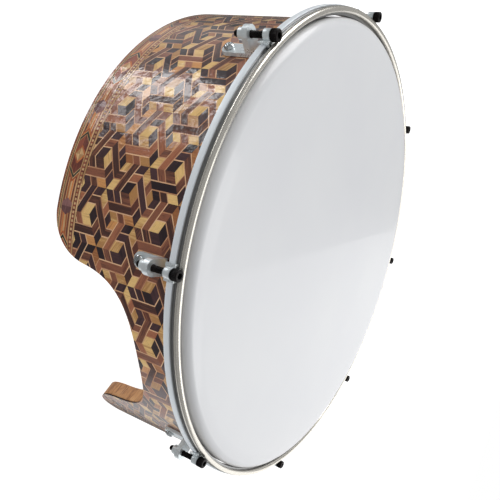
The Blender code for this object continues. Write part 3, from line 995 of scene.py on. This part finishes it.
def brackets(material):
    """Plate with a round heel, upright with a round crown, and a boss behind it."""
    half, reach, seat = 0.00625, 0.0063, SHELL_R + GAP
    deck, front = seat + PLATE, HOOP_Z - 0.0192
    back = front - 0.0050
    rear = HOOP_Z - 0.0480 + half
    axis = (BOLT_AXIS, 0.0)
    plate = solid_box((seat, -half, rear), (deck, half, front))
    heel = solid_round(half, seat, deck, 48, (0.0, rear), "X")
    post = solid_box((seat, -reach, back), (BOLT_AXIS, reach, front))
    crown = solid_round(reach, back, front, 64, axis)
    boss = solid_round(0.0042, back - 0.0048, back + 0.001, 48, axis, top_radius=0.0046)
    bore = solid_round(BOLT_BORE, back - 0.010, front + 0.010, 32, axis)
    obj = sculpted("lug_bracket", [plate, heel, post, crown, boss], [bore], material, 0.0005)
    lug_copies(obj, "lug_bracket", "shell", "zinc_casting", "bracket")


def radial(name, rows, material, steps, move, caps=(True, True)):
    """A closed shape from (radius at an angle, height) rows, carried into place by move."""
    angles = [TAU * step / steps for step in range(steps)]
    loops = [[tuple(move(Vector((radius(a) * math.cos(a), radius(a) * math.sin(a), height))))
              for a in angles] for radius, height in rows]
    return grid(name, loops, material, False, caps, 35.0)


def level(radius, height):
    """A round row."""
    return (lambda a: radius, height)


def six_sided(apothem, height):
    """A hexagonal row."""
    def radius(angle):
        return apothem / math.cos((angle % (PI / 3.0)) - PI / 6.0)
    return (radius, height)


def cross(reach, arm, height):
    """A cross-recess outline: four arms of a given half width."""
    def radius(angle):
        c, s = abs(math.cos(angle)), abs(math.sin(angle))
        big, small = max(c, s), min(c, s)
        if small * reach > arm * big:
            return min(reach / big, arm / max(small, 1e-6))
        return reach / big
    return (radius, height)


def tension_bolts(material):
    """Socket-head bolts with knurled heads, socket recess and a real thread helix."""
    low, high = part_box("tension_bolt_1")
    top, end = high.z, low.z
    seat = top - 0.0060
    head, core, crest = 0.00436, 0.00206, 0.00248
    ribs, pitch = 28, 0.0008

    def knurl(height, depth):
        return (lambda a: head - depth * (0.5 - 0.5 * math.cos(ribs * a)), height)

    def thread(height):
        def radius(angle):
            phase = (height / pitch - angle / TAU) % 1.0
            return core + (crest - core) * abs(2.0 * phase - 1.0)
        return (radius, height)

    plain = seat - 0.0022
    rows = [level(0.0008, top - 0.0028), six_sided(0.00195, top - 0.0026),
            six_sided(0.0020, top - 0.0002), six_sided(0.0022, top),
            level(head - 0.0008, top), level(head - 0.0003, top - 0.0002),
            knurl(top - 0.0006, 0.00004), knurl(top - 0.0010, 0.00030),
            knurl(seat + 0.0008, 0.00030), knurl(seat + 0.0004, 0.00004),
            level(head - 0.0004, seat), level(crest, seat), level(crest, plain)]
    quarters = int((plain - end - 0.0010) / pitch * 4)
    rows += [thread(plain - 0.0003 - pitch * index / 4.0) for index in range(quarters)]
    rows += [level(core, end + 0.0004), level(core - 0.0005, end)]
    obj = radial("bolt", rows, material, 4 * ribs, lambda p: p + Vector((BOLT_AXIS, 0.0, 0.0)))
    lug_copies(obj, "bolt", "bolt_{}", "black_oxide", "tension_bolt")


def radial_outwards(height):
    """Moves a piece modelled along Z onto the +X side, pointing away from the axis."""
    def move(point):
        return Vector((point.z, point.y, height - point.x))
    return move


def bracket_screws(material):
    """Pan heads with a cross recess, on the brackets' plates."""
    low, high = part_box("bracket_screw_1")
    screw_z = (low.z + high.z) / 2.0
    seat = SHELL_R + PLATE + 2.0 * GAP
    dome = seat + 0.0026
    inside = BORE_R - 0.0065
    rows = [level(0.0004, dome - 0.0014), cross(0.0016, 0.00040, dome - 0.0013),
            cross(0.0021, 0.0006, dome - 0.0001), level(0.0026, dome),
            level(0.0032, dome - 0.0003), level(0.0037, dome - 0.0008),
            level(0.0040, dome - 0.0015), level(0.0040, seat + 0.0002),
            level(0.0038, seat), level(0.00197, seat), level(0.00197, inside + 0.0006),
            level(0.0016, inside)]
    obj = radial("screw", rows, material, 96, radial_outwards(screw_z))
    lug_copies(obj, "screw", "shell", "plated_screw", "bracket_screw")


def flange_nuts(material):
    """Hexagon nuts with a flange, inside the shell."""
    low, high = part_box("flange_nut_1")
    nut_z = (low.z + high.z) / 2.0
    face = BORE_R - 0.0007
    nut = face - 0.0044
    rows = [level(0.0024, nut), six_sided(0.0032, nut), six_sided(0.00346, nut + 0.0004),
            six_sided(0.00346, face - 0.0012), level(0.0042, face - 0.0010),
            level(0.0048, face - 0.0007), level(0.0050, face - 0.0003),
            level(0.0049, face), level(0.0024, face)]
    rows.reverse()
    obj = radial("nut", rows, material, 96, radial_outwards(nut_z), caps=(False, False))
    bridge_bore(obj, len(rows), 96)
    lug_copies(obj, "nut", "shell", "plated_screw", "flange_nut")


def bridge_bore(obj, rows, steps):
    """Closes a ring-shaped grid along its bore, from the last row to the first."""
    bm = bmesh.new()
    bm.from_mesh(obj.data)
    bm.verts.ensure_lookup_table()
    last = (rows - 1) * steps
    for step in range(steps):
        after = (step + 1) % steps
        bm.faces.new([bm.verts[last + step], bm.verts[last + after], bm.verts[after],
                      bm.verts[step]])
    bmesh.ops.recalc_face_normals(bm, faces=bm.faces)
    bm.to_mesh(obj.data)
    bm.free()


# ---- studio --------------------------------------------------------------------------
def camera():
    """A close three-quarter view down onto the head, with the drum's axis leaning left."""
    azimuth = math.radians(240.0)
    tilt = 1.1675                # between the drum's axis and the line to the camera
    roll = 0.2577
    distance = 2.4237 * HOOP_R
    aim_across, aim_along = -0.3444 * HOOP_R, -0.1233 * HOOP_R
    focal_share = 1.04634        # focal length over the sensor's width
    spin = Matrix.Rotation(azimuth - PI, 3, "Z")
    centre = Vector((0.0, 0.0, HOOP_Z))
    eye = Vector((-math.sin(tilt), 0.0, math.cos(tilt))) * distance
    aim = Vector((aim_along * math.cos(tilt), aim_across, aim_along * math.sin(tilt)))
    forward = (aim - eye).normalized()
    right = forward.cross(Vector((0.0, 1.0, 0.0))).normalized()
    up = right.cross(forward)
    across = math.cos(roll) * right + math.sin(roll) * up
    above = -math.sin(roll) * right + math.cos(roll) * up
    turned_axes = Matrix((across, above, -forward)).transposed()
    data = bpy.data.cameras.new("camera")
    data.sensor_width = 36.0
    data.lens = 36.0 * focal_share
    data.shift_x = -0.0551
    data.shift_y = 0.1600
    data.clip_start = 0.02
    obj = linked("camera", data)
    obj.matrix_world = (Matrix.Translation(centre) @ spin.to_4x4()
                        @ Matrix.Translation(eye) @ turned_axes.to_4x4())
    bpy.context.scene.camera = obj


# Directions are azimuth and elevation in degrees. A panel adds its half width, its soft
# edge and its radiance.
ROOM_BELOW, ROOM_ABOVE = 0.14, 0.30
PANELS = ((171.0, -42.0, 4.0, 4.0, 6.0), (192.0, -44.0, 3.0, 4.0, 3.5),
          (135.0, -41.0, 8.0, 8.0, 0.4), (345.0, -34.0, 10.0, 18.0, 0.7))
# The large soft light ends along the arc through these two directions: its edge is the
# faint line reflected across the film. It is turned away from the arc and raised by
# angles, and hangs at a distance from the middle of the head.
LIGHT_EDGE = ((56.0, 33.0), (66.0, 17.0))
LIGHT_TURN, LIGHT_RISE = 31.0, 16.0
LIGHT_REACH, LIGHT_LENGTH = 2.1, 3.2
HEAD_MIDDLE = Vector((0.0, 0.0, 0.14))


def area_light(name, place, aim, size, power):
    data = bpy.data.lights.new(name, "AREA")
    data.shape = "RECTANGLE"
    data.size, data.size_y = size
    data.energy = power
    obj = linked(name, data)
    obj.location = place
    obj.rotation_euler = (Vector(aim) - Vector(place)).to_track_quat("-Z", "Y").to_euler()
    return obj


def direction(azimuth, elevation):
    azimuth, elevation = math.radians(azimuth), math.radians(elevation)
    return (math.cos(azimuth) * math.cos(elevation), math.sin(azimuth) * math.cos(elevation),
            math.sin(elevation))


def studio_world():
    """A grey room, brighter above the horizon, with soft lit panels."""
    world = bpy.data.worlds.new("studio")
    bpy.context.scene.world = world
    world.use_nodes = True
    room = Nodes(world.node_tree)
    gaze = room.node("ShaderNodeTexCoord").outputs["Generated"]
    split = room.node("ShaderNodeSeparateXYZ")
    room.link(gaze, split.inputs["Vector"])
    total = room.span(split.outputs["Z"], -0.12, 0.10, ROOM_BELOW, ROOM_ABOVE, "SMOOTHSTEP")
    for azimuth, elevation, width, edge, radiance in PANELS:
        towards = room.node("ShaderNodeVectorMath", operation="DOT_PRODUCT")
        room.link(gaze, towards.inputs[0])
        towards.inputs[1].default_value = direction(azimuth, elevation)
        panel = room.span(towards.outputs["Value"], math.cos(math.radians(width + edge)),
                          math.cos(math.radians(width)), 0.0, radiance, "SMOOTHSTEP")
        total = room.math("ADD", total, panel)
    background = room.tree.nodes["Background"]
    room.link(total, background.inputs["Strength"])
    background.inputs["Color"].default_value = (0.98, 0.99, 1.0, 1.0)


def glow(name, value, diffuse):
    """White paint that is partly lit from within, for the floor and the backdrop."""
    paint = Shader(name, (diffuse, diffuse, diffuse), Roughness=0.9, Specular_IOR_Level=0.0)
    paint.shader.inputs["Emission Color"].default_value = (1.0, 1.0, 1.0, 1.0)
    paint.shader.inputs["Emission Strength"].default_value = value
    return paint.material


def soft_light():
    """Hangs the large light so that one of its edges lies on the arc of LIGHT_EDGE."""
    upper, lower = (Vector(direction(*corner)) for corner in LIGHT_EDGE)
    across = upper.cross(lower).normalized()
    rise, turn = math.radians(LIGHT_RISE), math.radians(LIGHT_TURN)
    middle = Matrix.Rotation(-rise, 3, across) @ (upper + lower).normalized()
    away = middle * math.cos(turn) - across * math.sin(turn)
    side = across.cross(away).normalized()
    light = area_light("overhead", HEAD_MIDDLE + away * LIGHT_REACH, HEAD_MIDDLE,
                       (LIGHT_LENGTH, 2.0 * LIGHT_REACH * math.tan(turn)), 24.0)
    light.rotation_euler = Matrix((side, away.cross(side), away)).transposed().to_euler()


def studio():
    """A white floor, a white backdrop that only the camera sees, the room and the lights."""
    bpy.context.scene.view_settings.view_transform = "Standard"
    bpy.ops.mesh.primitive_plane_add(size=24.0, location=(0.0, 0.0, 0.0))
    floor = bpy.context.object
    floor.name = "floor"
    floor.data.materials.append(glow("floor_paint", 1.0, 0.35))
    floor.visible_glossy = False
    bpy.ops.mesh.primitive_uv_sphere_add(radius=11.0, segments=48, ring_count=24)
    backdrop = bpy.context.object
    backdrop.name = "backdrop"
    backdrop.data.materials.append(glow("backdrop_paint", 1.0, 0.0))
    for ray in ("diffuse", "glossy", "transmission", "volume_scatter", "shadow"):
        setattr(backdrop, "visible_" + ray, False)
    studio_world()
    soft_light()
    area_light("top", (0.6, 0.6, 1.85), HEAD_MIDDLE, (1.6, 1.6), 12.8)
    area_light("key", (-1.25, 0.75, 0.75), (-0.1, 0.0, 0.08), (0.9, 0.9), 10.5)


# Woods in the order of their slots: name, dark and light colour, depth of the pores.
MARQUETRY_WOODS = (
    ("walnut", srgb(70, 34, 23), srgb(142, 80, 50)),
    ("rosewood", srgb(34, 16, 22), srgb(72, 39, 42)),
    ("boxwood", srgb(178, 124, 62), srgb(232, 190, 116), 0.2),
    ("olive_wood", srgb(158, 94, 40), srgb(212, 146, 76), 0.25),
    ("stringing", srgb(182, 122, 80), srgb(232, 184, 138), 0.15),
    ("padauk", srgb(96, 44, 26), srgb(168, 98, 60)))
BORDER_WOODS = (
    ("holly", srgb(176, 130, 78), srgb(218, 176, 122), 0.1),
    ("ebony", srgb(24, 26, 20), srgb(56, 58, 44)),
    ("orange_wood", srgb(162, 76, 26), srgb(216, 122, 52), 0.2),
    ("rust_wood", srgb(104, 40, 24), srgb(156, 76, 46)),
    ("mauve_wood", srgb(104, 60, 60), srgb(150, 100, 96)),
    ("tan_wood", srgb(150, 94, 54), srgb(196, 136, 86), 0.2))


def main():
    ground = lacquered_wood("ground_sheet", srgb(60, 34, 26), srgb(96, 60, 46))
    inside = plain_wood("bent_beech", srgb(150, 96, 58), srgb(190, 138, 92))
    cut = cut_edge("cut_edge", srgb(120, 72, 44), srgb(198, 144, 94))
    aluminium = metal("satin_aluminium", (0.86, 0.91, 0.95), 0.38, (8.0, 5000.0, 1.0), 0.12,
                      metallic=0.3)
    steel = metal("polished_steel", (0.86, 0.82, 0.74), 0.20, (10.0, 2500.0, 1.0), 0.06,
                  metallic=0.8)
    zinc = metal("zinc_casting", (0.86, 0.92, 0.94), 0.26, None, 0.16, 0.00005, metallic=0.65)
    # a darker grey metal for the flesh hoop's step and inner wall: painted shade in the gap
    # under the rod
    groove_shade = metal("painted_groove_shade", (0.42, 0.42, 0.42), 0.38)
    plated = metal("plated_screw", (0.86, 0.89, 0.90), 0.16, None, 0.12)
    black = black_oxide()

    camera()
    studio()
    shell_core(inside, cut)
    backing(ground)
    marquetry([lacquered_wood(*wood) for wood in MARQUETRY_WOODS])
    border([lacquered_wood(*wood) for wood in BORDER_WOODS])
    drumhead(film_material())
    flesh_hoop(aluminium, groove_shade)
    counter_hoop(steel)
    hoop_ears(zinc)
    brackets(zinc)
    tension_bolts(black)
    bracket_screws(plated)
    flange_nuts(plated)


main()
